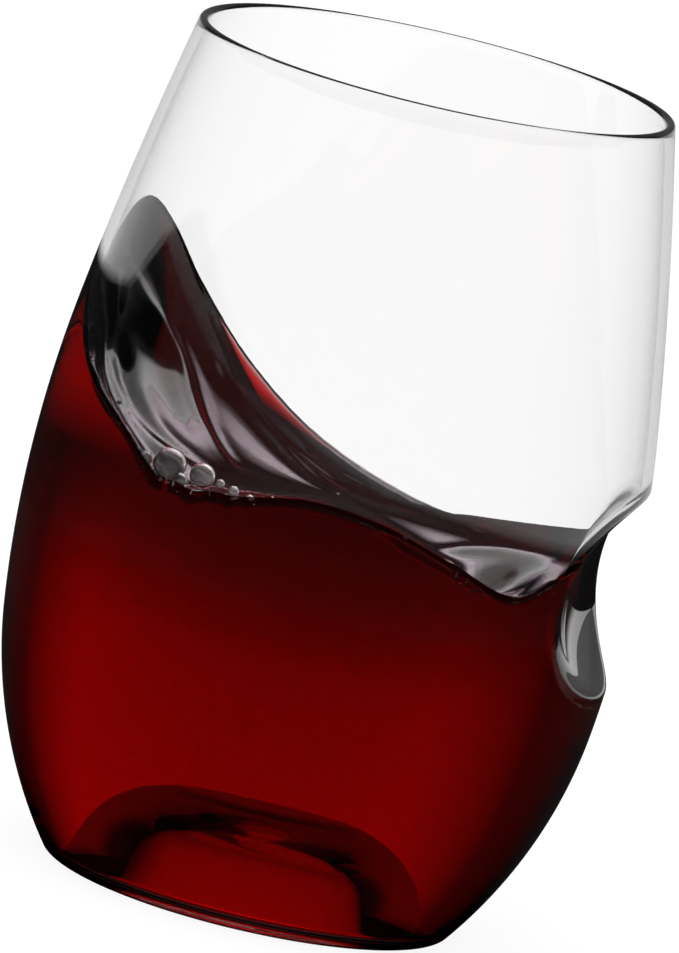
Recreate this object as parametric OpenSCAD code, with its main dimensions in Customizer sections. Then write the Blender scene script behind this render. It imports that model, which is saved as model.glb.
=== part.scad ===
// Stemless wine glass with a thumb notch, holding red wine caught in mid-swirl.
// Upright, resting on its foot ring at z = 0, with the thumb notch facing +X. Millimetres.

/* [Bowl] */
// Height from the foot ring to the rim
glass_h = 114; // [95:1:140]
// Radius at the widest part of the belly
belly_r = 41.2; // [34:0.2:50]
// Height of the widest part
belly_z = 50; // [42:0.5:60]
// Thickness of the wall
wall = 1.3; // [0.8:0.05:2]
// Radius of the long side arc that closes in towards the rim
upper_arc_r = 569; // [400:1:700]
// Radius of the side arc across the belly
belly_arc_r = 165; // [120:1:220]
// Radius of the side arc that draws in to the foot
lower_arc_r = 64; // [56:0.5:78]
// Angle above the belly at which the upper arc takes over
upper_turn = 8; // [5:0.5:10]
// Angle below the belly at which the lower arc takes over
lower_turn = 6.4; // [4:0.2:9]

/* [Foot] */
// Rounding where the side meets the foot ring
foot_edge_r = 1.5; // [0.8:0.1:2.5]
// Width of the flat ring that the glass rests on
foot_ring_w = 3.6; // [2.5:0.1:5]
// Height of the sole inside the foot ring
sole_rise = 0.6; // [0.3:0.05:1]
// Thickness of the base above the foot ring
base_t = 2; // [1.5:0.1:3]
// Rounding inside, where the side meets the base
heel_r = 3; // [2:0.1:4.5]
// Radius of the punt at the foot
punt_r = 18.4; // [15:0.2:20]
// Height of the hollow under the punt
punt_h = 15.6; // [12:0.2:20]
// Rounding round the top of the punt
punt_edge_r = 9; // [6:0.1:11]
// Lean of the punt's side
punt_lean = 17; // [10:1:24]

/* [Thumb notch] */
// Height of the middle of the notch
notch_z = 51.5; // [46:0.5:58]
// Depth of the notch below the belly
notch_depth = 8; // [5:0.1:10]
// Radius of the notch from top to bottom
notch_r = 15; // [12:0.5:19]
// Radius of the notch from side to side
notch_sweep_r = 138; // [70:1:180]

/* [Wine] */
// Height of the surface at the middle of the bowl
wine_z = 55; // [48:0.5:62]
// How late the surface bends up to the wall: 1 is a straight cone
wine_bend = 1.7; // [1.2:0.1:2.6]
// Gap kept between the wine and the wall
wine_gap = 0.2; // [0.1:0.05:0.4]
// Radius of the largest froth bubble
froth_r = 2.2; // [1:0.1:2.6]
// Thickness of the film of wine between the froth and the wall
froth_film = 0.2; // [0.1:0.05:0.5]

/* [Hidden] */

overrun = 1;
rim_bead_r = wall / 2;
neck_z = glass_h - rim_bead_r;

// Centres of the three tangent arcs of the outer side
belly_c = [belly_r - belly_arc_r, belly_z];
lower_c = belly_c + (belly_arc_r - lower_arc_r) * [cos(lower_turn), -sin(lower_turn)];
upper_c = belly_c + (belly_arc_r - upper_arc_r) * [cos(upper_turn), sin(upper_turn)];

// Points along an arc from turn a to turn b, both ends included
function arc(c, r, a, b, steps) =
    [for (i = [0 : steps]) c + r * [cos(a + (b - a) * i / steps), sin(a + (b - a) * i / steps)]];

// Radius at height z of an arc with centre c and radius r, and the turn there
function arc_x(c, r, z) = c.x + sqrt(r * r - (z - c.y) * (z - c.y));
function arc_turn(c, r, z) = asin((z - c.y) / r);

// Radius of the side at height z, on the surface that lies inset inwards
function side_r(z, inset) =
    z < belly_c.y - (belly_arc_r - inset) * sin(lower_turn) ? arc_x(lower_c, lower_arc_r - inset, z) :
    z < belly_c.y + (belly_arc_r - inset) * sin(upper_turn) ? arc_x(belly_c, belly_arc_r - inset, z) :
    arc_x(upper_c, upper_arc_r - inset, z);

// Side of the bowl, inset inwards, from its rounded join with a base at height z up to height top
function side_outline(inset, z, edge_r, top) =
    let (
        edge_z = z + edge_r,
        edge_c = [arc_x(lower_c, lower_arc_r - inset - edge_r, edge_z), edge_z],
        edge_turn = arc_turn(lower_c, lower_arc_r - inset - edge_r, edge_z),
        top_turn = arc_turn(upper_c, upper_arc_r - inset, top)
    )
    concat(
        arc(edge_c, edge_r, -90, edge_turn, 6),
        skip_first(arc(lower_c, lower_arc_r - inset, edge_turn, -lower_turn, 12)),
        skip_first(arc(belly_c, belly_arc_r - inset, -lower_turn, upper_turn, 8)),
        skip_first(arc(upper_c, upper_arc_r - inset, upper_turn, top_turn, 6))
    );
function skip_first(list) = [for (i = [1 : len(list) - 1]) list[i]];

// Foot ring and punt
foot_r = side_outline(0, 0, foot_edge_r, neck_z)[0].x;
ring_in_r = foot_r - foot_ring_w;
punt_c = [
    punt_r - (punt_h - punt_edge_r) * tan(punt_lean) - punt_edge_r / cos(punt_lean),
    punt_h - punt_edge_r
];

// Middle of the thumb notch's sweep, measured from the glass's axis
notch_x = belly_r - notch_depth + notch_r + notch_sweep_r;

// Height of the wine on the wall at equal turns from +X, as shares of the glass's height
edge_shares = [
    0.504, 0.502, 0.484, 0.450, 0.435, 0.433, 0.454, 0.494,
    0.563, 0.646, 0.725, 0.757, 0.717, 0.668, 0.610, 0.562,
    0.512, 0.511, 0.529, 0.521, 0.490, 0.461, 0.502, 0.509
];
edge_step = 360 / len(edge_shares);
wave_sectors = 90;
wave_rings = 20;
wave_reach_share = 1.12;

// Folds of the swirl as shares of the belly's radius: height, half-width, then points along the fold
fold_shares = [
    [-0.019, 0.07, [[-0.84, -0.19], [-0.72, -0.34], [-0.56, -0.47], [-0.34, -0.47]]],
    [0.022, 0.07, [[-0.78, -0.06], [-0.65, -0.06], [-0.52, -0.14], [-0.40, -0.26], [-0.29, -0.33]]],
    [0.022, 0.07, [[-0.56, 0.12], [-0.40, 0.17], [-0.23, 0.24], [0, 0.05], [0.15, -0.10]]],
    [-0.019, 0.07, [[-0.49, 0.27], [-0.27, 0.36], [0.02, 0.22], [0.36, -0.07]]],
    [0.019, 0.07, [[-0.12, 0.53], [0.21, 0.15], [0.49, -0.15], [0.68, -0.32]]]
];
fold_fade = 6;

// Distance from p to a fold's line, and how far all the folds from the i-th on lift the surface at p
function fold_gap(p, path) =
    min([
        for (k = [0 : len(path) - 2])
            let (way = path[k + 1] - path[k], along = ((p - path[k]) * way) / (way * way))
            norm(p - path[k] - max(0, min(1, along)) * way)
    ]);
function fold_lift(p, i) =
    i == len(fold_shares) ? 0 :
    let (row = fold_shares[i], gap = fold_gap(p, row[2]) / row[1])
    row[0] * exp(-gap * gap) + fold_lift(p, i + 1);

// Smooth curve from b to c, with a and d as the neighbours on either side
function through(a, b, c, d, t) =
    b + t / 2 * (c - a + t * (2 * a - 5 * b + 4 * c - d + t * (3 * (b - c) + d - a)));
function edge_share(i) = edge_shares[(i + len(edge_shares)) % len(edge_shares)];
function edge_z(turn) =
    let (place = turn / edge_step, i = floor(place))
    glass_h * through(edge_share(i - 1), edge_share(i), edge_share(i + 1), edge_share(i + 2), place - i);

// Point of the wine's surface at a turn and at a share of the way out to the wall
function wave_point(turn, out) =
    let (
        z = edge_z(turn),
        r = out * side_r(z, wall),
        p = [r * cos(turn), r * sin(turn)],
        fade = max(0, min(1, (1 - out) * fold_fade))
    )
    [p.x, p.y, wine_z + (z - wine_z) * pow(out, wine_bend) + fade * belly_r * fold_lift(p / belly_r, 0)];

// Distance from the axis to the notch's face, grown outwards, or the belly's radius where the notch isn't
function notch_face_r(z, turn, grow) =
    let (tip = notch_r + grow, rise = z - notch_z, across = notch_x * sin(turn))
    abs(rise) >= tip || cos(turn) <= 0 ? belly_r :
    let (reach = notch_sweep_r + sqrt(tip * tip - rise * rise))
    reach <= abs(across) ? belly_r :
    notch_x * cos(turn) - sqrt(reach * reach - across * across);

// Froth against the wall on the near side: turn, then radius and height above the wine's edge
// as shares of the largest bubble's radius
froth_shares = [
    [-136, 0.14, 0.5], [-135, 0.12, -0.1], [-133.5, 0.13, -0.3], [-127.5, 0.18, -0.2], [-125.5, 0.40, -0.2],
    [-121, 1, 0.4], [-116.4, 0.44, 0.1], [-112.4, 0.77, 0.75], [-107.5, 0.29, 0.6], [-104.6, 0.35, 0.3],
    [-101, 0.26, 0], [-98.4, 0.15, 0], [-96.6, 0.18, 0], [-58.7, 0.25, -0.4], [-57.6, 0.16, -0.8],
    [-56.2, 0.16, -0.35], [-54.4, 0.14, -0.6], [-53, 0.12, -0.3], [-51.9, 0.13, -0.45], [-35.2, 0.13, -0.9]
];

// Half section of the bowl as a solid of revolution, closed at the top by the rim's bead
module bowl_section() {
    side = side_outline(0, 0, foot_edge_r, neck_z);
    bead_c = [side_r(neck_z, 0) - rim_bead_r, neck_z];
    polygon(concat([[0, 0]], side, skip_first(arc(bead_c, rim_bead_r, 0, 180, 10)), [[0, neck_z]]));
}

// Half section of the space inside the wall, inset further by gap
module inside_section(gap) {
    side = side_outline(wall + gap, base_t + gap, heel_r - gap, neck_z);
    mouth = side_r(neck_z, 0) - 2 * rim_bead_r - gap;
    polygon(concat([[0, base_t + gap]], side, [[mouth, glass_h + overrun], [0, glass_h + overrun]]));
}

// Half section of the hollow under the punt, grown outwards
module punt_section(grow) {
    dome = arc(punt_c, punt_edge_r + grow, punt_lean, 90, 8);
    drop = dome[0].y + overrun;
    foot = [dome[0].x + drop * tan(punt_lean), -overrun];
    polygon(concat([[0, -overrun], foot], dome, [[0, punt_h + grow]]));
}

// Space inside the wall, inset further by gap, with the back of the notch standing into it
module inside(gap) {
    difference() {
        rotate_extrude($fn = 144)
            difference() {
                inside_section(gap);
                punt_section(wall + gap);
            }
        thumb(wall + gap);
    }
}

// Thumb-shaped tool that presses the notch, grown outwards
module thumb(grow) {
    tip_r = notch_r + grow;
    translate([notch_x, 0, notch_z])
        rotate_extrude($fn = 240) {
            translate([notch_sweep_r, 0]) circle(tip_r, $fn = 96);
            translate([0, -tip_r]) square([notch_sweep_r, 2 * tip_r]);
        }
}

// The tumbler: one wall from the foot ring to the rim, with the notch and the punt pressed into it
module glass() {
    color("gainsboro", 0.35)
        difference() {
            rotate_extrude($fn = 144)
                difference() {
                    bowl_section();
                    punt_section(0);
                    translate([0, -overrun]) square([ring_in_r, overrun + sole_rise]);
                }
            thumb(0);
            inside(0);
        }
}

// Air over the wine, whose underside is the swirling surface
module air() {
    outs = [for (k = [1 : wave_rings]) k / wave_rings * wave_reach_share];
    turns = [for (j = [0 : wave_sectors - 1]) j * 360 / wave_sectors];
    top = glass_h + 2 * overrun;
    surface = [for (out = outs, turn = turns) wave_point(turn, out)];
    lid = [for (turn = turns) let (p = wave_point(turn, wave_reach_share)) [p.x, p.y, top]];
    points = concat(surface, lid, [[0, 0, wine_z], [0, 0, top]]);
    low = len(points) - 2;
    high = len(points) - 1;
    lid_at = wave_rings * wave_sectors;
    faces = concat(
        [for (j = [0 : wave_sectors - 1]) [low, j, (j + 1) % wave_sectors]],
        [
            for (k = [0 : wave_rings - 1], j = [0 : wave_sectors - 1])
                let (a = k * wave_sectors + j, b = k * wave_sectors + (j + 1) % wave_sectors)
                each [[a, a + wave_sectors, b], [b, a + wave_sectors, b + wave_sectors]]
        ],
        [for (j = [0 : wave_sectors - 1]) [high, lid_at + (j + 1) % wave_sectors, lid_at + j]]
    );
    polyhedron(points, faces, convexity = 6);
}

// Froth bubbles, a film of wine away from the wall, grown outwards
module froth(grow) {
    for (row = froth_shares) {
        r = froth_r * row[1];
        z = edge_z(row[0]) + froth_r * row[2];
        face = min(side_r(z, wall), notch_face_r(z, row[0], wall));
        out = face - 2 * wine_gap - froth_film - r;
        translate([out * cos(row[0]), out * sin(row[0]), z]) sphere(r + grow, $fn = 24);
    }
}

// The wine: fills the bowl up to its swirling surface
module wine() {
    color("darkred")
        difference() {
            difference() {
                inside(wine_gap);
                air();
            }
            froth(wine_gap);
        }
}

// The froth bubbles on the wine
module bubbles() {
    color("mistyrose") froth(0);
}

glass();
wine();
bubbles();
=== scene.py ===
import math
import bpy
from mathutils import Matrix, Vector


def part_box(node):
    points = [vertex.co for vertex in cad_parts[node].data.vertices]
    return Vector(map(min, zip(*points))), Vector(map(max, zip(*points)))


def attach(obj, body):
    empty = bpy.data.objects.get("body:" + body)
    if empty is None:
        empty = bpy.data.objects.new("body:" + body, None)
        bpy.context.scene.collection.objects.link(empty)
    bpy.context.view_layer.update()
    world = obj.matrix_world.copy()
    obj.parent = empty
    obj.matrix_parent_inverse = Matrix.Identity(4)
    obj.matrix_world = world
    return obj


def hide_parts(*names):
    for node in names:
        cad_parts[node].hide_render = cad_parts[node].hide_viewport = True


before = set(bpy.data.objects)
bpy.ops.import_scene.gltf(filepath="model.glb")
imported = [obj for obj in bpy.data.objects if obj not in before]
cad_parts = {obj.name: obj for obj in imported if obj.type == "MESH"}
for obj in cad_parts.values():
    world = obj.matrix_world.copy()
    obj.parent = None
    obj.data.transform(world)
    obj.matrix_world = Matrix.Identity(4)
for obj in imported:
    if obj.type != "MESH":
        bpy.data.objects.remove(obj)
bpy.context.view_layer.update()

from types import SimpleNamespace

import bpy
import bmesh
import numpy
from bpy.props import FloatProperty, FloatVectorProperty, PointerProperty
from mathutils import Matrix, Vector

bl_info = {
    "name": "Stemless wine glass",
    "version": (1, 0, 0),
    "blender": (4, 5, 0),
    "location": "3D View > Sidebar > Wine glass",
    "description": "Stemless wine glass with a thumb notch, holding red wine caught in mid-swirl",
    "category": "Add Mesh",
}

GLASS_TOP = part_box("glass")[1].z
MM = 0.001
TURN = 2 * math.pi

# A distance that is longer than anything on the glass
FAR = 1.0

# Roundings of the tumbler's small corners
PUNT_CORNER = 0.8 * MM
BASE_CORNER = 1.2 * MM
RING_CORNER = 0.25 * MM

# Steps along each stretch of the outline
EDGE_STEPS = 10
BEAD_STEPS = 12
FLAT_STEPS = 4
PUNT_TOP_STEPS = 8
PUNT_SIDE_STEPS = 5

# Rise from ring to ring up the side. It is fine for that many notch radii over and under the notch's middle
COARSE_RISE = 1.0 * MM
FINE_RISE = 0.4 * MM
BESIDE_NOTCH = 1.2

# The wine's mesh: columns round the axis, rings out to the wall and rings down the side
WINE_COLUMNS = 440
RINGS_OUT = 120
RINGS_DOWN = 60

# Shares of the way out to the wall: where the froth sits, and where its dents start
FROTH_PLACE = 0.94
DENTS_START = 0.8

# The folds fade over one part in this many, next to the wall
FOLDS_FADE = 12

# Colour and refraction of the clear materials
CLEAR = (1, 1, 1, 1)
WALL_IOR = 1.5
WINE_IOR = 1.34


# Sizes and colours

class GlassSizes(bpy.types.PropertyGroup):
    height: FloatProperty(
        name="Height", description="From the foot ring to the rim", default=GLASS_TOP, unit="LENGTH")
    belly_radius: FloatProperty(
        name="Belly radius", description="Radius at the widest part", default=0.0412, unit="LENGTH")
    belly_height: FloatProperty(
        name="Belly height", description="Height of the widest part", default=0.050, unit="LENGTH")
    wall: FloatProperty(
        name="Wall", description="Thickness of the wall", default=0.0013, unit="LENGTH")
    upper_arc: FloatProperty(
        name="Upper arc", description="Radius of the side arc under the rim", default=0.569, unit="LENGTH")
    belly_arc: FloatProperty(
        name="Belly arc", description="Radius of the side arc across the belly", default=0.165,
        unit="LENGTH")
    lower_arc: FloatProperty(
        name="Lower arc", description="Radius of the side arc over the foot", default=0.064, unit="LENGTH")
    upper_turn: FloatProperty(
        name="Upper turn", description="Turn above the belly where the upper arc starts",
        default=math.radians(8), subtype="ANGLE")
    lower_turn: FloatProperty(
        name="Lower turn", description="Turn below the belly where the lower arc starts",
        default=math.radians(6.4), subtype="ANGLE")
    foot_edge: FloatProperty(
        name="Foot edge", description="Rounding between side and foot ring", default=0.0015, unit="LENGTH")
    ring_width: FloatProperty(
        name="Foot ring width", description="Width of the flat foot ring", default=0.0036, unit="LENGTH")
    sole_rise: FloatProperty(
        name="Sole rise", description="Height of the sole inside the ring", default=0.0006, unit="LENGTH")
    base: FloatProperty(
        name="Base", description="Height of the base's upper side", default=0.002, unit="LENGTH")
    heel: FloatProperty(
        name="Heel", description="Rounding inside between side and base", default=0.003, unit="LENGTH")
    punt_radius: FloatProperty(
        name="Punt radius", description="Radius of the punt at the foot", default=0.0184, unit="LENGTH")
    punt_height: FloatProperty(
        name="Punt height", description="Height of the hollow under the punt", default=0.0156, unit="LENGTH")
    punt_edge: FloatProperty(
        name="Punt edge", description="Rounding round the punt's top", default=0.009, unit="LENGTH")
    punt_lean: FloatProperty(
        name="Punt lean", description="Lean of the punt's side", default=math.radians(17), subtype="ANGLE")
    notch_height: FloatProperty(
        name="Notch height", description="Height of the notch's middle", default=0.0515, unit="LENGTH")
    notch_depth: FloatProperty(
        name="Notch depth", description="Depth of the notch below the belly", default=0.008, unit="LENGTH")
    notch_radius: FloatProperty(
        name="Notch radius", description="Radius from top to bottom", default=0.015, unit="LENGTH")
    notch_sweep: FloatProperty(
        name="Notch sweep", description="Radius from side to side", default=0.138, unit="LENGTH")
    lip_softness: FloatProperty(
        name="Lip softness", description="Width over which the notch's lip is rounded",
        default=0.0022, unit="LENGTH")


class WineSizes(bpy.types.PropertyGroup):
    middle: FloatProperty(
        name="Middle", description="Height of the surface at the bowl's axis", default=0.055, unit="LENGTH")
    bend: FloatProperty(
        name="Bend", description="How late the surface bends up to the wall", default=1.7)
    edge: FloatVectorProperty(
        name="Edge", description="Height of the wine on the wall every 15 degrees from the notch",
        size=24, unit="LENGTH", default=[v * MM for v in (
            57.5, 57.2, 55.0, 51.0, 49.3, 49.0, 51.3, 56.0, 63.8, 73.2, 81.9, 86.2,
            84.2, 75.8, 68.4, 63.4, 58.4, 58.3, 60.3, 59.4, 55.9, 52.6, 57.2, 58.0)])
    bite: FloatProperty(
        name="Bite", description="How far the wine's skin reaches into the wall", default=0.0003,
        unit="LENGTH")
    meniscus_rise: FloatProperty(
        name="Meniscus rise", description="Climb of the wine at the wall", default=0.0004, unit="LENGTH")
    meniscus_width: FloatProperty(
        name="Meniscus width", description="Width over which it climbs", default=0.0005, unit="LENGTH")
    tint: FloatVectorProperty(
        name="Tint", description="Colour that the wine lets through", size=3, subtype="COLOR",
        min=0, max=1, default=(0.966, 0.0, 0.01))
    density: FloatProperty(
        name="Density", description="How strongly a metre of wine absorbs", default=700)


class FrothSizes(bpy.types.PropertyGroup):
    largest: FloatProperty(
        name="Largest bubble", description="Radius of the largest bubble", default=0.0022, unit="LENGTH")
    film: FloatProperty(
        name="Film", description="Thickness of a bubble's skin, as a share of its radius", default=0.14)


class StageSettings(bpy.types.PropertyGroup):
    distance: FloatProperty(
        name="Distance", description="Camera to the aim point", default=2.2, unit="LENGTH")
    lens: FloatProperty(name="Lens", description="Focal length in millimetres", default=624.6)
    round_turn: FloatProperty(
        name="Turn", description="Camera's turn round the glass", default=math.radians(5.4), subtype="ANGLE")
    elevation: FloatProperty(
        name="Elevation", description="Camera's height angle", default=math.radians(10.37), subtype="ANGLE")
    tilt: FloatProperty(
        name="Tilt", description="How far the picture tips the glass", default=math.radians(13.26),
        subtype="ANGLE")
    aim_height: FloatProperty(
        name="Aim height", description="Height that the camera aims at", default=0.057, unit="LENGTH")
    aside: FloatProperty(
        name="Aside", description="Slide of the camera to its right", default=-0.000226, unit="LENGTH")
    lift: FloatProperty(
        name="Lift", description="Slide of the camera upwards", default=0.000532, unit="LENGTH")
    floor_radius: FloatProperty(
        name="Floor radius", description="Radius of the pale floor", default=60, unit="LENGTH")


def plain(group):
    """The values of a property group, as plain numbers that are quick to read."""
    names = [p.identifier for p in group.bl_rna.properties if p.identifier not in ("rna_type", "name")]
    values = {n: getattr(group, n) for n in names}
    return SimpleNamespace(**{n: list(v) if hasattr(v, "__len__") else v for n, v in values.items()})


# The bowl's form

def side_arcs(s):
    """Centre and radius of the lower, belly and upper arcs of the outer side."""
    belly = (s.belly_radius - s.belly_arc, s.belly_height, s.belly_arc)
    lower = (belly[0] + (s.belly_arc - s.lower_arc) * math.cos(s.lower_turn),
             belly[1] - (s.belly_arc - s.lower_arc) * math.sin(s.lower_turn), s.lower_arc)
    upper = (belly[0] + (s.belly_arc - s.upper_arc) * math.cos(s.upper_turn),
             belly[1] + (s.belly_arc - s.upper_arc) * math.sin(s.upper_turn), s.upper_arc)
    return lower, belly, upper


def side_radius(s, z, inset):
    """Radius of the bowl's side at height z, on the skin that lies inset inwards."""
    lower, belly, upper = side_arcs(s)
    if z < belly[1] - (belly[2] - inset) * math.sin(s.lower_turn):
        arc = lower
    elif z < belly[1] + (belly[2] - inset) * math.sin(s.upper_turn):
        arc = belly
    else:
        arc = upper
    return arc[0] + math.sqrt((arc[2] - inset) ** 2 - (z - arc[1]) ** 2)


def notch_reach(s, z, turn, grow):
    """Distance from the axis to the face of the thumb notch, or FAR where it isn't."""
    tip, rise = s.notch_radius + grow, z - s.notch_height
    if abs(rise) >= tip or math.cos(turn) <= 0:
        return FAR
    reach = s.notch_sweep + math.sqrt(tip * tip - rise * rise)
    middle = s.belly_radius - s.notch_depth + s.notch_radius + s.notch_sweep
    across = middle * math.sin(turn)
    if reach <= abs(across):
        return FAR
    return middle * math.cos(turn) - math.sqrt(reach * reach - across * across)


def wall_radius(s, z, turn, inset):
    """Radius of the wall's skin with the notch pressed in and its lip rounded."""
    side, notch = side_radius(s, z, inset), notch_reach(s, z, turn, inset)
    near = max(s.lip_softness - abs(side - notch), 0) / s.lip_softness
    return min(side, notch) - near * near * s.lip_softness / 4


def arc_points(centre, radius, start, end, steps):
    """Points (r, z) along an arc from one turn to another, both ends included."""
    turns = [start + (end - start) * i / steps for i in range(steps + 1)]
    return [(centre[0] + radius * math.cos(a), centre[1] + radius * math.sin(a)) for a in turns]


def line_points(start, end, steps):
    """Points between two ends, without the ends."""
    return [tuple(a + (b - a) * i / steps for a, b in zip(start, end)) for i in range(1, steps)]


def edge_round(s, z, radius, inset):
    """Points from a level floor at height z round into the side, and the height where the side starts."""
    lower = side_arcs(s)[0]
    reach = lower[2] - inset - radius
    centre = (lower[0] + math.sqrt(reach ** 2 - (z + radius - lower[1]) ** 2), z + radius)
    turn = math.asin((z + radius - lower[1]) / reach)
    points = arc_points(centre, radius, -math.pi / 2, turn, EDGE_STEPS)
    return points, points[-1][1]


def punt_points(s, grow, foot):
    """Points of the punt from its top's centre down its side to height foot."""
    lean = s.punt_lean
    centre = (s.punt_radius - (s.punt_height - s.punt_edge) * math.tan(lean) - s.punt_edge / math.cos(lean),
              s.punt_height - s.punt_edge)
    dome = arc_points(centre, s.punt_edge + grow, math.pi / 2, lean, BEAD_STEPS)
    middle = (0.0, dome[0][1])
    end = (dome[-1][0] + (dome[-1][1] - foot) * math.tan(lean), foot)
    top, side = line_points(middle, dome[0], PUNT_TOP_STEPS), line_points(dome[-1], end, PUNT_SIDE_STEPS)
    return [middle] + top + dome + side + [end]


def rounded(points, corner, radius, steps=FLAT_STEPS):
    """The outline with the corner at that index cut back and rounded."""
    before, at, after = (Vector(points[corner + k]) for k in (-1, 0, 1))
    a, b = (before - at).normalized(), (after - at).normalized()
    back = min(radius / math.tan(a.angle(b) / 2), (before - at).length / 2, (after - at).length / 2)
    ends = at + a * back, at + b * back
    bend = []
    for i in range(steps + 1):
        t = i / steps
        bend.append(tuple(ends[0] * (1 - t) ** 2 + at * 2 * t * (1 - t) + ends[1] * t * t))
    return points[:corner] + bend + points[corner + 1:]


def base_outline(s, inset):
    """Points of the inside, from the punt's top out over the base to where the side starts."""
    level = s.base - (s.wall - inset)
    heel, start = edge_round(s, level, s.heel + (s.wall - inset), inset)
    punt = punt_points(s, inset, level)
    base = line_points(punt[-1], heel[0], FLAT_STEPS)
    return rounded(punt + base + heel, len(punt) - 1, BASE_CORNER), start


def side_heights(s, low, high):
    """Heights up the side, closer together beside the notch."""
    beside = s.notch_radius * BESIDE_NOTCH
    heights, z = [], low
    while True:
        z += FINE_RISE if s.notch_height - beside < z < s.notch_height + beside else COARSE_RISE
        if z >= high - FINE_RISE / 2:
            return heights
        heights.append(z)


def even_turns(count):
    """Evenly spaced turns round the axis."""
    return [TURN * i / count for i in range(count)]


def column_turns(fine_half, fine_count, coarse_count):
    """Turns round the axis, closer together on the notch's side."""
    fine = [-fine_half + 2 * fine_half * i / fine_count for i in range(fine_count)]
    rest = TURN - 2 * fine_half
    return fine + [fine_half + rest * i / coarse_count for i in range(coarse_count)]


def skin(name, rings):
    """A closed mesh over rings of points. The first and the last ring are single points."""
    mesh = bpy.data.meshes.new(name)
    points = [rings[0][0]]
    starts = []
    for ring in rings[1:-1]:
        starts.append(len(points))
        points += ring
    points.append(rings[-1][0])
    last, count = len(points) - 1, len(rings[1])
    faces = [(0, starts[0] + (j + 1) % count, starts[0] + j) for j in range(count)]
    for a, b in zip(starts, starts[1:]):
        faces += [(a + j, a + (j + 1) % count, b + (j + 1) % count, b + j) for j in range(count)]
    faces += [(last, starts[-1] + j, starts[-1] + (j + 1) % count) for j in range(count)]
    mesh.from_pydata(points, [], faces)
    solid = bmesh.new()
    solid.from_mesh(mesh)
    if solid.calc_volume(signed=True) < 0:
        bmesh.ops.reverse_faces(solid, faces=solid.faces)
    solid.to_mesh(mesh)
    solid.free()
    mesh.shade_smooth()
    return mesh


def add_piece(name, mesh, node, slot, *materials):
    """Puts a piece in the scene in place of a CAD node."""
    piece = bpy.data.objects.new(name, mesh)
    bpy.context.scene.collection.objects.link(piece)
    for material in materials:
        mesh.materials.append(material)
    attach(piece, "root")
    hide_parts(node)
    return piece


def ring_at(turns, radius, z):
    """A ring of points: radius and z are numbers, or functions of the turn."""
    radius_at = radius if callable(radius) else lambda turn: radius
    z_at = z if callable(z) else lambda turn: z
    return [(radius_at(t) * math.cos(t), radius_at(t) * math.sin(t), z_at(t)) for t in turns]


def glass_rings(s, turns):
    """The tumbler's skin from the punt's underside, out over the foot, up, over the rim and down inside."""
    under = punt_points(s, 0, s.sole_rise)
    foot, side_low = edge_round(s, 0, s.foot_edge, 0)
    inner_ring = foot[0][0] - s.ring_width
    sole_end = (inner_ring, s.sole_rise)
    outline = under + line_points(under[-1], sole_end, FLAT_STEPS)
    outline = rounded(outline + [sole_end], len(under) - 1, PUNT_CORNER)
    step = len(outline) - 1
    outline += [(inner_ring, 0)] + line_points((inner_ring, 0), foot[0], FLAT_STEPS) + foot
    for corner in (step + 1, step):
        outline = rounded(outline, corner, RING_CORNER, FLAT_STEPS - 1)
    neck = s.height - s.wall / 2
    rings = [[(0, 0, outline[0][1])]] + [ring_at(turns, r, z) for r, z in outline[1:]]
    for z in side_heights(s, side_low, neck):
        rings.append(ring_at(turns, lambda t: wall_radius(s, z, t, 0), z))
    bead = (side_radius(s, neck, 0) - s.wall / 2, neck)
    rings += [ring_at(turns, r, z) for r, z in arc_points(bead, s.wall / 2, 0, math.pi, BEAD_STEPS)]
    inside, inside_low = base_outline(s, s.wall)
    for z in reversed(side_heights(s, inside_low, neck)):
        rings.append(ring_at(turns, lambda t: wall_radius(s, z, t, s.wall), z))
    rings += [ring_at(turns, r, z) for r, z in reversed(inside[1:])]
    return rings + [[(0, 0, inside[0][1])]]


# The wine's form

def through(a, b, c, d, t):
    """Smooth curve from b to c, with a and d as the neighbours on either side."""
    return b + t / 2 * (c - a + t * (2 * a - 5 * b + 4 * c - d + t * (3 * (b - c) + d - a)))


def edge_height(w, turn):
    """Height of the wine on the wall at a turn."""
    place = turn % TURN / TURN * len(w.edge)
    i = int(place)
    a, b, c, d = (w.edge[(i + k) % len(w.edge)] for k in (-1, 0, 1, 2))
    return through(a, b, c, d, place - i)


def wave_height(w, turn, out):
    """Height of the swirling surface at a turn and at a share of the way out to the wall."""
    return w.middle + (edge_height(w, turn) - w.middle) * out ** w.bend


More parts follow.
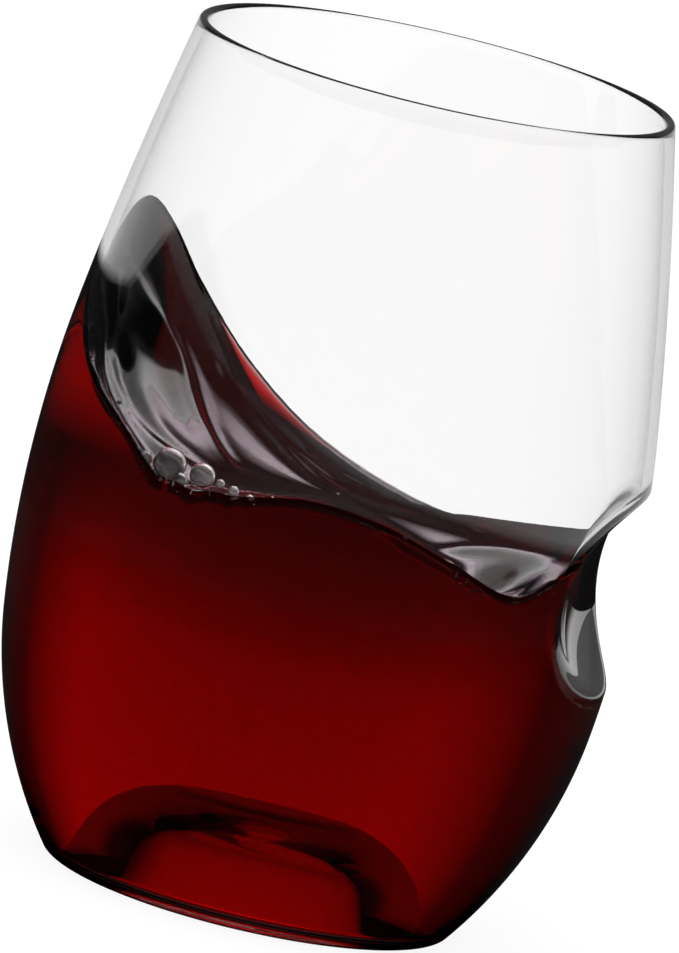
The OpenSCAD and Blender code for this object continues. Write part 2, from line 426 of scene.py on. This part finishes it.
# Folds of the swirl: height and half-width in mm, then points (x, y) in mm along the fold
FOLDS = (
    (-2.2, 3.4, ((-35.5, -6), (-33.5, -11.5), (-30.5, -17), (-26.5, -22), (-21, -26.5), (-14, -30))),
    (-1.6, 3.2, ((6, -33), (13, -31), (19, -28), (25, -23.5), (29.5, -18))),
    (-0.55, 1.5, ((-34.5, -8), (-31.5, -11), (-29.5, -14), (-26.5, -16.5), (-22.9, -19.2), (-18.5, -20),
                  (-14, -19.5))),
    (0.5, 1.3, ((-34.7, -3), (-33.9, -7.2), (-32.6, -11), (-30.5, -14.5), (-27, -18))),
    (1.4, 4.2, ((-33, -3.5), (-29.4, -3.2), (-26.8, -3.4), (-24, -4), (-21.5, -6.8), (-19.2, -9.6),
                (-16.3, -11.9), (-12, -14.5))),
    (0.3, 1.1, ((-32, -2.5), (-29.4, -2.2), (-26.8, -2.4), (-24, -3), (-21.5, -5.8), (-19.2, -8.6),
                (-16.3, -10.9), (-12, -13.5))),
    (-0.5, 1.4, ((-28, 0.5), (-24.5, -0.5), (-21, -2.8), (-18, -6), (-15, -8.5), (-11, -10.5))),
    (0.6, 1.8, ((-23, 5), (-20.7, 5.3), (-19.1, 5.9), (-16.3, 7.2), (-13.8, 9), (-9.5, 10), (-4.4, 7),
                (0, 2), (6, -4))),
    (-0.5, 1.6, ((-20, 11), (-16, 13), (-11, 15), (-5, 14), (1, 9), (8, 3), (15, -3))),
    (0.5, 1.8, ((-5, 22), (2.7, 14.5), (8.6, 6), (14, 0), (20, -6), (25, -10))),
    (-0.45, 1.5, ((10, 16), (15, 8), (20, 2), (26, -4))),
    (0.4, 1.6, ((14, -16), (19, -15), (24, -14.9), (28, -16), (31, -18))),
)


def smooth_path(points, steps=6):
    """Points of a smooth curve through the given points."""
    ends = [points[0]] + list(points) + [points[-1]]
    path = []
    for a, b, c, d in zip(ends, ends[1:], ends[2:], ends[3:]):
        path += [[through(*(p[i] for p in (a, b, c, d)), k / steps) for i in (0, 1)] for k in range(steps)]
    return numpy.array(path + [list(points[-1])]) * MM


def fold_heights(spots):
    """How far the folds lift the surface at an array of spots (x, y)."""
    lift = numpy.zeros(len(spots))
    for height, width, points in FOLDS:
        path = smooth_path(points)
        near = numpy.full(len(spots), FAR)
        along = numpy.zeros(len(spots))
        for k, (a, b) in enumerate(zip(path, path[1:])):
            way = b - a
            share = numpy.clip(((spots - a) @ way) / (way @ way), 0, 1)
            gap = numpy.linalg.norm(spots - a - share[:, None] * way, axis=1)
            closer = gap < near
            near[closer] = gap[closer]
            along[closer] = (k + share[closer]) / (len(path) - 1)
        taper = numpy.clip(numpy.minimum(along, 1 - along) * 4, 0, 1)
        taper = taper * taper * (3 - 2 * taper)
        lift += height * MM * taper * numpy.exp(-(near / (width * MM)) ** 2)
    return lift


def wine_rings(s, w, balls, turns):
    """The wine's skin from the middle of its surface, out to the wall, down the side and over the base."""
    inset = s.wall - w.bite
    at_wall = numpy.array([(s.belly_radius * math.cos(t), s.belly_radius * math.sin(t)) for t in turns])
    dents = froth_dents(balls, at_wall * FROTH_PLACE)
    edges = {t: edge_height(w, t) - dent for t, dent in zip(turns, dents)}
    reach = {t: wall_radius(s, edges[t], t, inset) for t in turns}
    rings = [[(0, 0, w.middle)]]
    for k in range(1, RINGS_OUT + 1):
        out = k / RINGS_OUT
        spots = numpy.array([(out * reach[t] * math.cos(t), out * reach[t] * math.sin(t)) for t in turns])
        pressed = froth_dents(balls, spots) if out > DENTS_START else numpy.zeros(len(spots))
        lifts = dict(zip(turns, fold_heights(spots) * min(1, (1 - out) * FOLDS_FADE) - pressed))

        def height(t):
            to_wall = (1 - out) * reach[t]
            rise = w.meniscus_rise * math.exp(-to_wall / w.meniscus_width)
            return wave_height(w, t, out) + lifts[t] + rise
        rings.append(ring_at(turns, lambda t: out * reach[t], height))
    base, side_low = base_outline(s, inset)
    for k in range(1, RINGS_DOWN):
        share = k / RINGS_DOWN

        def down(t):
            return edges[t] + (side_low - edges[t]) * share
        rings.append(ring_at(turns, lambda t: wall_radius(s, down(t), t, inset), down))
    rings += [ring_at(turns, r, z) for r, z in reversed(base[1:])]
    return rings + [[(0, 0, base[0][1])]]


# Froth: turn in degrees, then radius and height over the wine's edge as shares of the largest bubble
FROTH = (
    (-136, 0.14, 0.5), (-135, 0.12, -0.1), (-133.5, 0.13, -0.3), (-127.5, 0.18, -0.2), (-125.5, 0.40, -0.2),
    (-121, 1, 0.4), (-116.4, 0.44, 0.1), (-112.4, 0.77, 0.75), (-107.5, 0.29, 0.6), (-104.6, 0.35, 0.3),
    (-101, 0.26, 0), (-98.4, 0.15, 0), (-96.6, 0.18, 0), (-58.7, 0.25, -0.4), (-57.6, 0.16, -0.8),
    (-56.2, 0.16, -0.35), (-54.4, 0.14, -0.6), (-53, 0.12, -0.3), (-51.9, 0.13, -0.45), (-35.2, 0.13, -0.9),
)

# Gap between bubble and wall, and a dent's depth and half-width in radii of its bubble
FROTH_GAP = 0.1 * MM
DENT_DEPTH = 0.95
DENT_WIDTH = 1.25

# Columns round a bubble, and the radius from which it is a large one
LARGE_BUBBLE = 0.6 * MM
LARGE_COLUMNS = 40
SMALL_COLUMNS = 20


def froth_balls(s, w, f):
    """Centre and radius of each bubble."""
    balls = []
    for degrees, size, rise in FROTH:
        turn, radius = math.radians(degrees), f.largest * size
        z = edge_height(w, turn) + f.largest * rise
        out = side_radius(s, z, s.wall) - radius - FROTH_GAP
        balls.append((Vector((out * math.cos(turn), out * math.sin(turn), z)), radius))
    return balls


def froth_dents(balls, spots):
    """How far the bubbles press the wine down at an array of spots (x, y)."""
    dent = numpy.zeros(len(spots))
    for centre, radius in balls:
        gap = numpy.linalg.norm(spots - numpy.array(centre[:2]), axis=1)
        dent = numpy.maximum(dent, DENT_DEPTH * radius * numpy.exp(-(gap / (DENT_WIDTH * radius)) ** 2))
    return dent


def froth_mesh(balls, film):
    """All the bubbles as thin hollow balls."""
    mesh = bpy.data.meshes.new("froth")
    shells = bmesh.new()
    for centre, radius in balls:
        columns = LARGE_COLUMNS if radius > LARGE_BUBBLE else SMALL_COLUMNS
        for shell, inward in ((radius, False), (radius * (1 - film), True)):
            made = bmesh.ops.create_uvsphere(
                shells, u_segments=columns, v_segments=columns // 2, radius=shell)
            bmesh.ops.translate(shells, verts=made["verts"], vec=centre)
            if inward:
                faces = {face for v in made["verts"] for face in v.link_faces}
                bmesh.ops.reverse_faces(shells, faces=list(faces))
    shells.to_mesh(mesh)
    shells.free()
    mesh.shade_smooth()
    return mesh


# Materials

def new_material(name):
    """A material with its Principled shader: (material, tree, shader)."""
    material = bpy.data.materials.new(name)
    material.use_nodes = True
    tree = material.node_tree
    return material, tree, tree.nodes["Principled BSDF"]


def clear_material(name, colour, ior):
    """A see-through material with its Principled shader: (material, tree, shader)."""
    material, tree, shader = new_material(name)
    shader.inputs["Base Color"].default_value = colour
    shader.inputs["Transmission Weight"].default_value = 1
    shader.inputs["IOR"].default_value = ior
    return material, tree, shader


def texture(tree, features, detail):
    """A Noise texture's output on the object's own coordinates, with that many features to a metre."""
    noise = tree.nodes.new("ShaderNodeTexNoise")
    noise.inputs["Scale"].default_value = features
    noise.inputs["Detail"].default_value = detail
    tree.links.new(tree.nodes.new("ShaderNodeTexCoord").outputs["Object"], noise.inputs["Vector"])
    return noise.outputs["Fac"]


def relief(tree, shader, height, depth):
    """Bump of that depth in metres, worked out from a height between 0 and 1."""
    bump = tree.nodes.new("ShaderNodeBump")
    bump.inputs["Distance"].default_value = depth
    bump.inputs["Strength"].default_value = 0.5
    tree.links.new(height, bump.inputs["Height"])
    tree.links.new(bump.outputs["Normal"], shader.inputs["Normal"])


def dull_spots(tree, shader, height, full, roughness):
    """Roughness that rises from none at the texture's middle height to its most at height full."""
    tree.links.new(ramp(tree, height, ((0.5, 0.0), (full, roughness))), shader.inputs["Roughness"])


def clear_wall():
    """Colourless moulded wall: faint flow marks from the mould, and a few dull smears."""
    material, tree, shader = clear_material("clear_wall", CLEAR, WALL_IOR)
    flow, grain = texture(tree, features=45, detail=1), texture(tree, features=260, detail=2)
    relief(tree, shader, math_node(tree, "MULTIPLY_ADD", grain, 0.12, flow), depth=0.06 * MM)
    dull_spots(tree, shader, texture(tree, features=80, detail=3), full=0.75, roughness=0.012)
    return material


def red_wine(w):
    """Deep red liquid that darkens with depth, with fine ripples on its surface."""
    material, tree, shader = clear_material("red_wine", CLEAR, WINE_IOR)
    relief(tree, shader, texture(tree, features=190, detail=1), depth=0.05 * MM)
    dull_spots(tree, shader, texture(tree, features=60, detail=1), full=0.8, roughness=0.01)
    depth = tree.nodes.new("ShaderNodeVolumeAbsorption")
    depth.inputs["Color"].default_value = (*w.tint, 1)
    depth.inputs["Density"].default_value = w.density
    tree.links.new(depth.outputs[0], tree.nodes["Material Output"].inputs["Volume"])
    return material


def froth_film():
    """Thin skins of wine round air, with drained bands."""
    material, tree, shader = clear_material("froth_film", (1, 0.94, 0.95, 1), WINE_IOR)
    bands = texture(tree, features=900, detail=1)
    relief(tree, shader, bands, depth=0.01 * MM)
    dull_spots(tree, shader, bands, full=0.8, roughness=0.02)
    return material


# Pieces

class WINEGLASS_OT_tumbler(bpy.types.Operator):
    """Builds the clear tumbler with its thumb notch, punt and foot ring"""
    bl_idname = "wineglass.tumbler"
    bl_label = "Tumbler"

    def execute(self, context):
        s = plain(context.scene.wineglass_glass)
        turns = column_turns(fine_half=math.radians(42), fine_count=170, coarse_count=160)
        add_piece("tumbler", skin("tumbler", glass_rings(s, turns)), "glass", "clear_wall", clear_wall())
        return {"FINISHED"}


class WINEGLASS_OT_wine(bpy.types.Operator):
    """Builds the swirling wine"""
    bl_idname = "wineglass.wine"
    bl_label = "Wine"

    def execute(self, context):
        scene = context.scene
        s, w, f = (plain(g) for g in (scene.wineglass_glass, scene.wineglass_wine, scene.wineglass_froth))
        turns = even_turns(WINE_COLUMNS)
        rings = wine_rings(s, w, froth_balls(s, w, f), turns)
        add_piece("red_wine", skin("red_wine", rings), "wine", "red_wine", red_wine(w))
        return {"FINISHED"}


class WINEGLASS_OT_froth(bpy.types.Operator):
    """Builds the froth bubbles where the wine meets the near wall"""
    bl_idname = "wineglass.froth"
    bl_label = "Froth"

    def execute(self, context):
        scene = context.scene
        s, w, f = (plain(g) for g in (scene.wineglass_glass, scene.wineglass_wine, scene.wineglass_froth))
        balls = froth_balls(s, w, f)
        add_piece("froth_bubbles", froth_mesh(balls, f.film), "bubbles", "froth", froth_film())
        return {"FINISHED"}


# Stage

# Light on the surround, as (place, level) stops round it or (height, level) stops up it. The place runs from
# 0 behind the camera to 1 behind the glass.
# The panel is seen through the wine
PANEL_PLACE = (
    (0.0, 0.9), (0.5, 0.9), (0.57, 0.02), (0.757, 0.02), (0.894, 0.14), (0.9415, 0.6), (0.97, 1.0))
PANEL_RISE = (
    (0.0, 0.03), (0.22, 0.04), (0.27, 0.1), (0.31, 0.2), (0.335, 0.34), (0.36, 0.62), (0.385, 0.92),
    (0.42, 1.05), (0.5, 1.1))
BEYOND_PUNT = 0.45
WITHIN_SHARE = 0.5

# The softbox is mirrored by the wine's surface. It hangs lower straight behind the glass
SOFTBOX_PLACE = ((0.0, 0.0), (0.7, 0.0), (0.75, 1.0))
SOFTBOX_RISE = (
    (0.0, 0.004), (0.47, 0.006), (0.53, 0.08), (0.57, 0.2), (0.62, 0.55), (0.7, 0.85), (0.78, 0.6),
    (0.9, 0.3))
SOFTBOX_POWER = 7.5
SOFTBOX_SIDE = 0.9
SOFTBOX_DROP = 0.2

# What the wall mirrors on its inside and on its outside
INNER_PLACE = ((0.0, 0.01), (0.6, 0.02), (0.8, 0.7), (0.9, 1.0))
OUTER_PLACE = (
    (0.0, 0.01), (0.6, 0.02), (0.82, 0.2), (0.86, 0.05), (0.9, 0.05), (0.93, 0.22), (1.0, 0.15))

# The white surround: seen straight, seen through the clear wall, and as light on the stage
SEEN_WHITE = 1.08
CLEAR_WHITE = 1.09
SURROUND = 0.95
SURFACE_TINT = (1, 0.85, 0.94, 1)

# Light on the floor, by the distance from the glass in metres and by how far it lies behind the glass
FLOOR_SHADE = ((0.0, 0.02), (0.03, 0.02), (0.06, 1.0))
FLOOR_UNDER_WINE = ((0.0, 0.1), (0.1, 0.5), (0.3, 1.0))
FLOOR_BEHIND = ((0.2, 0.0), (0.5, 0.7), (0.7, 1.0))
FLOOR_FAR = ((0.0, 0.01), (0.4, 0.02), (0.6, 0.7))
FLOOR_COLOUR = (0.8, 0.8, 0.8, 1)
FLOOR_WHITE = 1.11
FLOOR_CLEAR = 1.1
FLOOR_SURFACE = 0.02
FLOOR_WITHIN = 0.05
FLOOR_GLOW = 0.8

# The tent's lines, across from 0 at the left to 1 at the right and up, both in tenths of a metre
TENT_GAP = 1.2 * MM
TENT_LOW = 0.4
TENT_COLUMNS = 180
TENTHS = 10
TENT_EDGE = (
    (0.0, 0.9), (0.1, 0.84), (0.17, 0.79), (0.22, 0.72), (0.26, 0.48), (0.5, 0.46), (0.6, 0.42), (0.7, 0.38))
WINE_LINE = (
    (0.1, 0.78), (0.125, 0.79), (0.145, 0.87), (0.175, 0.923), (0.19, 0.916), (0.23, 0.873), (0.29, 0.809),
    (0.366, 0.745), (0.49, 0.676), (0.605, 0.633), (0.78, 0.603), (0.86, 0.585), (1.0, 0.57))
OVER_EDGE = ((0.0, 0.0), (0.07, 0.9))
OVER_WINE = ((0.0, 0.01), (0.02, 0.7))

SENSOR_WIDTH = 36
CLIP_START = 0.01


def math_node(tree, operation, *values):
    """A Math node's output, from numbers or outputs."""
    node = tree.nodes.new("ShaderNodeMath")
    node.operation = operation
    for socket, value in zip(node.inputs, values):
        if isinstance(value, (int, float)):
            socket.default_value = value
        else:
            tree.links.new(value, socket)
    return node.outputs[0]


def times(tree, a, b):
    """The product of two values."""
    return math_node(tree, "MULTIPLY", a, b)


def most(tree, first, *others):
    """The largest of some values."""
    for other in others:
        first = math_node(tree, "MAXIMUM", first, other)
    return first


def ramp(tree, value, stops):
    """A grey ColorRamp's output over (place, level) stops."""
    node = tree.nodes.new("ShaderNodeValToRGB")
    elements = node.color_ramp.elements
    while len(elements) < len(stops):
        elements.new(1)
    for element, (place, level) in zip(elements, stops):
        element.position = place
        element.color = (level, level, level, 1)
    tree.links.new(value, node.inputs[0])
    return node.outputs[0]


def switch(tree, pick, off, on):
    """Off or on, picked by an output that is 0 or 1."""
    rest = times(tree, math_node(tree, "SUBTRACT", 1, pick), off)
    return math_node(tree, "ADD", times(tree, pick, on), rest)


def switched(tree, value, *cases):
    """The value, unless a case's pick is 1: then that case's value."""
    for pick, on in cases:
        value = switch(tree, pick, value, on)
    return value


def axes(tree, vector):
    """The x, y and z of a vector output."""
    split = tree.nodes.new("ShaderNodeSeparateXYZ")
    tree.links.new(vector, split.inputs[0])
    return split.outputs


def glow(tree, strength):
    """White light of that strength."""
    light = tree.nodes.new("ShaderNodeEmission")
    tree.links.new(strength, light.inputs["Strength"])
    return light.outputs[0]


def see_through(tree):
    """A shader that lets everything through."""
    return tree.nodes.new("ShaderNodeBsdfTransparent").outputs[0]


def mix_shader(tree, share, off, on):
    """Shader off, shader on, or a mix, as the share goes from 0 to 1."""
    mix = tree.nodes.new("ShaderNodeMixShader")
    for socket, output in zip(mix.inputs, (share, off, on)):
        tree.links.new(output, socket)
    return mix.outputs[0]


def ray_kinds(tree):
    """Outputs that are 1 for each kind of ray that the stage lights in its own way."""
    path = tree.nodes.new("ShaderNodeLightPath").outputs

    def through_skins(count):
        """At least that many skins crossed."""
        return math_node(tree, "GREATER_THAN", path["Transmission Depth"], count - 0.5)

    def inverse(a):
        return math_node(tree, "SUBTRACT", 1, a)

    def skins_between(low, high):
        """At least low skins crossed, but fewer than high."""
        return times(tree, through_skins(low), inverse(through_skins(high)))
    mirrored = math_node(tree, "GREATER_THAN", path["Glossy Depth"], 0.5)
    return SimpleNamespace(
        camera=path["Is Camera Ray"],
        seen=most(tree, path["Is Camera Ray"], path["Is Transmission Ray"], path["Is Glossy Ray"]),
        crossed=times(tree, through_skins(5), inverse(mirrored)),
        punt=through_skins(9),
        outer=times(tree, mirrored, inverse(through_skins(1))),
        inner=times(tree, mirrored, skins_between(1, 4)),
        surface=times(tree, mirrored, skins_between(4, 6)),
        within=times(tree, mirrored, through_skins(6)),
    )


def studio_world():
    """White surround, with a lit panel behind the wine, a softbox over it and a dim room in front."""
    world = bpy.data.worlds.new("studio")
    world.use_nodes = True
    tree = world.node_tree
    background = tree.nodes["Background"]
    rays = ray_kinds(tree)
    x, y, z = axes(tree, tree.nodes.new("ShaderNodeTexCoord").outputs["Generated"])
    level = math_node(tree, "SQRT", math_node(tree, "ADD", times(tree, x, x), times(tree, y, y)))
    behind = math_node(tree, "DIVIDE", y, most(tree, level, 0.001))
    place = math_node(tree, "MULTIPLY_ADD", behind, 0.5, 0.5)
    panel = times(
        tree, ramp(tree, place, PANEL_PLACE), ramp(tree, math_node(tree, "ADD", z, 0.5), PANEL_RISE))
    panel = times(tree, panel, switch(tree, rays.punt, 1, BEYOND_PUNT))
    past_side = most(tree, math_node(tree, "SUBTRACT", place, SOFTBOX_SIDE), 0)
    above = math_node(tree, "ADD", z, times(tree, past_side, SOFTBOX_DROP))
    softbox = times(tree, ramp(tree, above, SOFTBOX_RISE), ramp(tree, place, SOFTBOX_PLACE))
    softbox = times(tree, softbox, SOFTBOX_POWER)
    strength = switched(
        tree, switch(tree, rays.camera, CLEAR_WHITE, SEEN_WHITE),
        (rays.inner, most(tree, ramp(tree, place, INNER_PLACE), softbox)),
        (rays.outer, ramp(tree, place, OUTER_PLACE)),
        (rays.surface, softbox),
        (rays.within, times(tree, panel, WITHIN_SHARE)),
        (rays.crossed, panel))
    strength = switch(tree, rays.seen, SURROUND, strength)
    tint = tree.nodes.new("ShaderNodeMix")
    tint.data_type = "RGBA"
    tree.links.new(rays.surface, tint.inputs["Factor"])
    tint.inputs["A"].default_value = CLEAR
    tint.inputs["B"].default_value = SURFACE_TINT
    tree.links.new(tint.outputs["Result"], background.inputs["Color"])
    tree.links.new(strength, background.inputs["Strength"])
    bpy.context.scene.world = world


def stage_piece(name, mesh, material):
    """Puts a piece of the stage in the scene."""
    piece = bpy.data.objects.new(name, mesh)
    bpy.context.scene.collection.objects.link(piece)
    mesh.materials.append(material)


def pale_floor(radius):
    """A pale floor that keeps a soft shadow."""
    floor = bpy.data.meshes.new("floor")
    disc = bmesh.new()
    bmesh.ops.create_circle(disc, cap_ends=True, segments=96, radius=radius)
    disc.to_mesh(floor)
    disc.free()
    material, tree, shader = new_material("pale_floor")
    shader.inputs["Base Color"].default_value = FLOOR_COLOUR
    shader.inputs["Roughness"].default_value = 1
    shader.inputs["Specular IOR Level"].default_value = 0
    rays = ray_kinds(tree)
    spot = tree.nodes.new("ShaderNodeNewGeometry").outputs["Position"]
    length = tree.nodes.new("ShaderNodeVectorMath")
    length.operation = "LENGTH"
    tree.links.new(spot, length.inputs[0])
    reach = length.outputs["Value"]
    behind = math_node(tree, "DIVIDE", axes(tree, spot)[1], most(tree, reach, 0.01))
    far_off = times(tree, ramp(tree, behind, FLOOR_BEHIND), ramp(tree, reach, FLOOR_FAR))
    through_clear = times(tree, ramp(tree, reach, FLOOR_SHADE), FLOOR_CLEAR)
    under_wine = switch(tree, rays.punt, ramp(tree, reach, FLOOR_UNDER_WINE), FLOOR_WITHIN)
    level = switched(
        tree, switch(tree, rays.camera, through_clear, FLOOR_WHITE),
        (rays.inner, far_off),
        (rays.outer, far_off),
        (rays.surface, FLOOR_SURFACE),
        (rays.within, under_wine))
    special = most(tree, rays.surface, rays.within, rays.inner, rays.outer)
    share = most(tree, times(tree, rays.seen, FLOOR_GLOW), special)
    lit = mix_shader(tree, share, shader.outputs[0], glow(tree, level))
    past = mix_shader(tree, rays.crossed, lit, see_through(tree))
    tree.links.new(past, tree.nodes["Material Output"].inputs["Surface"])
    stage_piece("floor", floor, material)


def light_tent(s):
    """A lit band round the upper bowl. Rays that crossed the wine see it as light at the wine's far edge.
    Rays that the clear wall mirrors see it lit above the wine and dark below. No other ray sees it."""
    tent = bpy.data.meshes.new("light_tent")
    turns = even_turns(TENT_COLUMNS)
    low, high = (ring_at(turns, s.belly_radius + TENT_GAP, z) for z in (TENT_LOW * s.height, s.height))
    count = len(turns)
    faces = [(j, (j + 1) % count, count + (j + 1) % count, count + j) for j in range(count)]
    tent.from_pydata(low + high, [], faces)
    material, tree, shader = new_material("light_tent")
    tree.nodes.remove(shader)
    rays = ray_kinds(tree)
    x, y, z = axes(tree, tree.nodes.new("ShaderNodeNewGeometry").outputs["Position"])
    across = math_node(tree, "MULTIPLY_ADD", x, TENTHS, 0.5)
    rise = times(tree, z, TENTHS)

    def over(line, stops):
        """Light by how far a spot lies over a line."""
        return ramp(tree, math_node(tree, "SUBTRACT", rise, ramp(tree, across, line)), stops)
    mirrored = most(tree, rays.outer, rays.inner)
    lit = times(tree, over(TENT_EDGE, OVER_EDGE), rays.crossed)
    strength = switch(tree, mirrored, 1, over(WINE_LINE, OVER_WINE))
    shown = mix_shader(tree, most(tree, lit, mirrored), see_through(tree), glow(tree, strength))
    tree.links.new(shown, tree.nodes["Material Output"].inputs["Surface"])
    stage_piece("light_tent", tent, material)


def soft_lamp(name, place, aim, size, power):
    """A square lamp that faces the point it aims at."""
    lamp = bpy.data.lights.new(name, "AREA")
    lamp.shape, lamp.size, lamp.energy = "SQUARE", size, power
    piece = bpy.data.objects.new(name, lamp)
    piece.location = place
    piece.rotation_mode = "QUATERNION"
    piece.rotation_quaternion = (Vector(aim) - Vector(place)).to_track_quat("-Z", "Y")
    bpy.context.scene.collection.objects.link(piece)
    piece.visible_glossy = False
    piece.visible_transmission = False


def photo_camera(c):
    """The camera where the photograph was taken from, rolled so that the glass looks tipped."""
    data = bpy.data.cameras.new("camera")
    data.lens, data.sensor_width = c.lens, SENSOR_WIDTH
    data.clip_start, data.clip_end = CLIP_START, 2 * c.floor_radius
    camera = bpy.data.objects.new("camera", data)
    bpy.context.scene.collection.objects.link(camera)
    level, rise = math.cos(c.elevation), math.sin(c.elevation)
    back = Vector((math.sin(c.round_turn) * level, -math.cos(c.round_turn) * level, rise))
    right = Vector((math.cos(c.round_turn), math.sin(c.round_turn), 0))
    up = back.cross(right)
    lean_up = up * math.cos(c.tilt) - right * math.sin(c.tilt)
    lean_right = right * math.cos(c.tilt) + up * math.sin(c.tilt)
    camera.location = (Vector((0, 0, c.aim_height)) + back * c.distance
                       + lean_right * c.aside + lean_up * c.lift)
    rows = [[lean_right[i], lean_up[i], back[i]] for i in range(3)]
    camera.rotation_mode = "QUATERNION"
    camera.rotation_quaternion = Matrix(rows).to_quaternion()
    bpy.context.scene.camera = camera


class WINEGLASS_OT_stage(bpy.types.Operator):
    """Sets up the floor, the surround, the lamps and the camera"""
    bl_idname = "wineglass.stage"
    bl_label = "Stage"

    def execute(self, context):
        c = plain(context.scene.wineglass_stage)
        studio_world()
        pale_floor(c.floor_radius)
        light_tent(plain(context.scene.wineglass_glass))
        soft_lamp("soft_top", place=(-0.3, -0.5, 1.2), aim=(0, 0, 0.05), size=0.8, power=3)
        photo_camera(c)
        context.scene.view_settings.view_transform = "Standard"
        return {"FINISHED"}


class WINEGLASS_PT_panel(bpy.types.Panel):
    bl_idname = "WINEGLASS_PT_panel"
    bl_label = "Stemless wine glass"
    bl_space_type = "VIEW_3D"
    bl_region_type = "UI"
    bl_category = "Wine glass"

    def draw(self, context):
        for operator in OPERATORS:
            self.layout.operator(operator.bl_idname)


GROUPS = {
    "wineglass_glass": GlassSizes,
    "wineglass_wine": WineSizes,
    "wineglass_froth": FrothSizes,
    "wineglass_stage": StageSettings,
}
OPERATORS = (WINEGLASS_OT_tumbler, WINEGLASS_OT_wine, WINEGLASS_OT_froth, WINEGLASS_OT_stage)


def register():
    for group in GROUPS.values():
        bpy.utils.register_class(group)
    for name, group in GROUPS.items():
        setattr(bpy.types.Scene, name, PointerProperty(type=group))
    for operator in OPERATORS:
        bpy.utils.register_class(operator)
    bpy.utils.register_class(WINEGLASS_PT_panel)


def unregister():
    bpy.utils.unregister_class(WINEGLASS_PT_panel)
    for operator in reversed(OPERATORS):
        bpy.utils.unregister_class(operator)
    for name, group in GROUPS.items():
        delattr(bpy.types.Scene, name)
        bpy.utils.unregister_class(group)


def main():
    register()
    bpy.ops.wineglass.tumbler()
    bpy.ops.wineglass.wine()
    bpy.ops.wineglass.froth()
    bpy.ops.wineglass.stage()
    bpy.context.view_layer.update()


if __name__ == "__main__":
    main()
